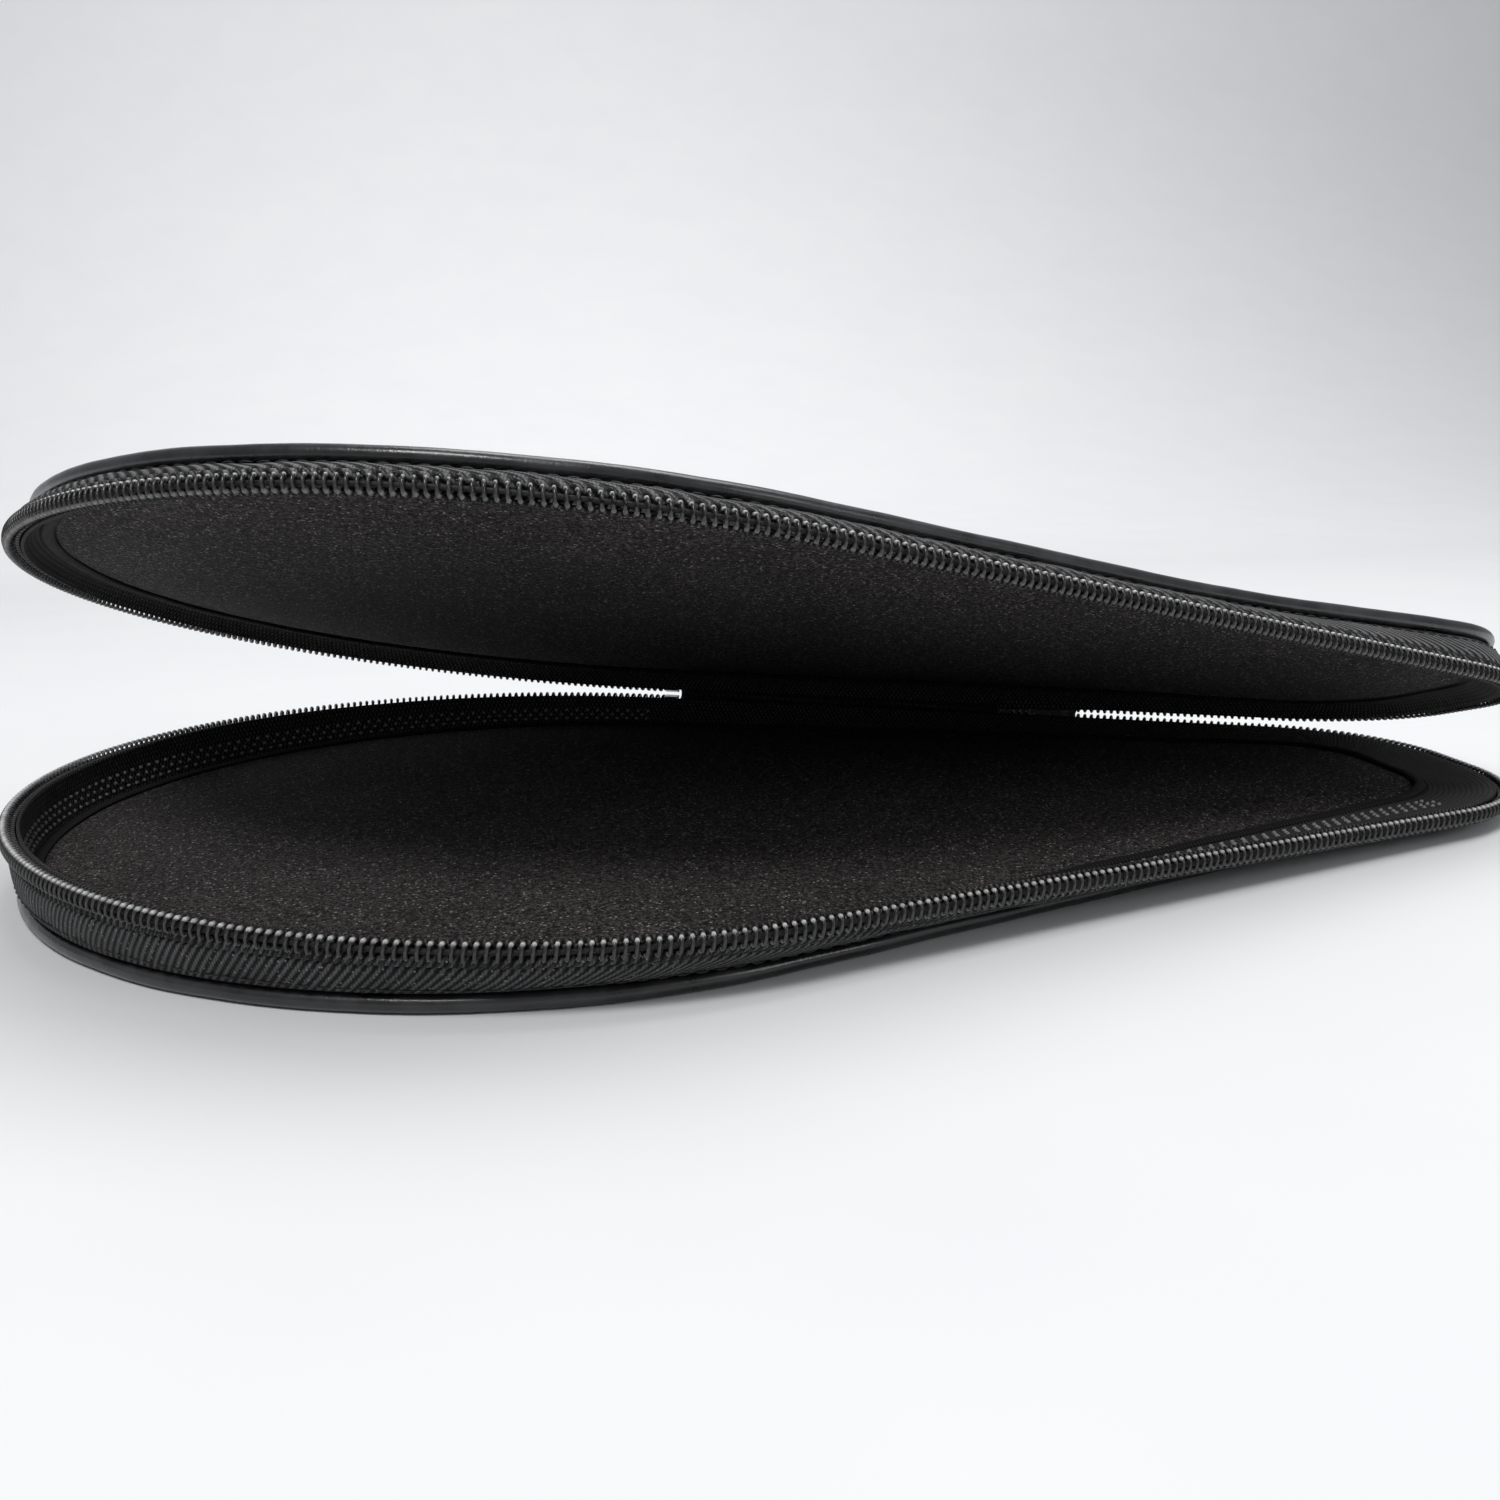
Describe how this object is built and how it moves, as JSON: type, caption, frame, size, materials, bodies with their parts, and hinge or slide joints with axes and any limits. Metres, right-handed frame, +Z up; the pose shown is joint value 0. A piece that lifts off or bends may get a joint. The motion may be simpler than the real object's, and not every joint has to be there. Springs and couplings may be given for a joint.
{
  "type": "table tennis paddle case",
  "caption": "Soft zip-round case for one table tennis paddle: padded base tray and lid hinged along one side, coil zipper with slider and pull.",
  "frame": {"origin": "centre of the round head end's circle, on the flat underside", "axes": "+X to the handle end, +Y to the spine side where the lid is hinged, -Y to the open side, +Z up"},
  "size_m": [0.2822, 0.1889, 0.0756],
  "materials": {
    "cover_fabric": "matt woven polyester",
    "piping_vinyl": "semi-gloss vinyl",
    "zip_tape": "herringbone tape",
    "zip_coil": "polished nylon",
    "zip_metal": "black enamel",
    "pull_rubber": "matt",
    "lining_fleece": "brushed knit",
    "mesh_lining": "knitted mesh",
    "binding_tape": "grosgrain",
    "stiffener_board": "matt",
    "foam": "cellular"
  },
  "bodies": {
    "base": {"base_outer_cover": "cover_fabric", "base_stiffener_board": "stiffener_board", "base_foam_pad": "foam", "base_lining": "lining_fleece", "base_wall_lining": "mesh_lining", "base_seam_binding": "binding_tape", "base_piping": "piping_vinyl", "base_zip_tape": "zip_tape", "base_zip_coil": "zip_coil", "base_top_stop": "zip_metal", "base_spine_panel": "cover_fabric", "spine_fold": "cover_fabric", "joined_chain": "zip_coil", "bottom_stop": "zip_metal"},
    "lid": {"lid_outer_cover": "cover_fabric", "lid_stiffener_board": "stiffener_board", "lid_foam_pad": "foam", "lid_lining": "lining_fleece", "lid_wall_lining": "mesh_lining", "lid_seam_binding": "binding_tape", "lid_piping": "piping_vinyl", "lid_zip_tape": "zip_tape", "lid_zip_coil": "zip_coil", "lid_top_stop": "zip_metal", "lid_spine_panel": "cover_fabric"},
    "slider": {"slider_body": "zip_metal"},
    "pull": {"pull_lever": "zip_metal", "pull_grip": "pull_rubber"}
  },
  "joints": [
    {"name": "lid_hinge", "type": "hinge", "parent": "base", "child": "lid", "pos_m": [0.09748, 0.06482, 0.00838], "axis": [-0.9391, 0.3424, 0.0301], "range_deg": [-17.6, 138]},
    {"name": "slider_travel", "type": "slide", "parent": "base", "child": "slider", "axis": [0.9391, -0.3424, -0.0301], "range_m": [0, 0.02]},
    {"name": "pull_swing", "type": "hinge", "parent": "slider", "child": "pull", "pos_m": [0.12076, 0.06027, 0.00764], "axis": [-0.032, 0, -0.9995], "range_deg": [0, 180]}
  ]
}
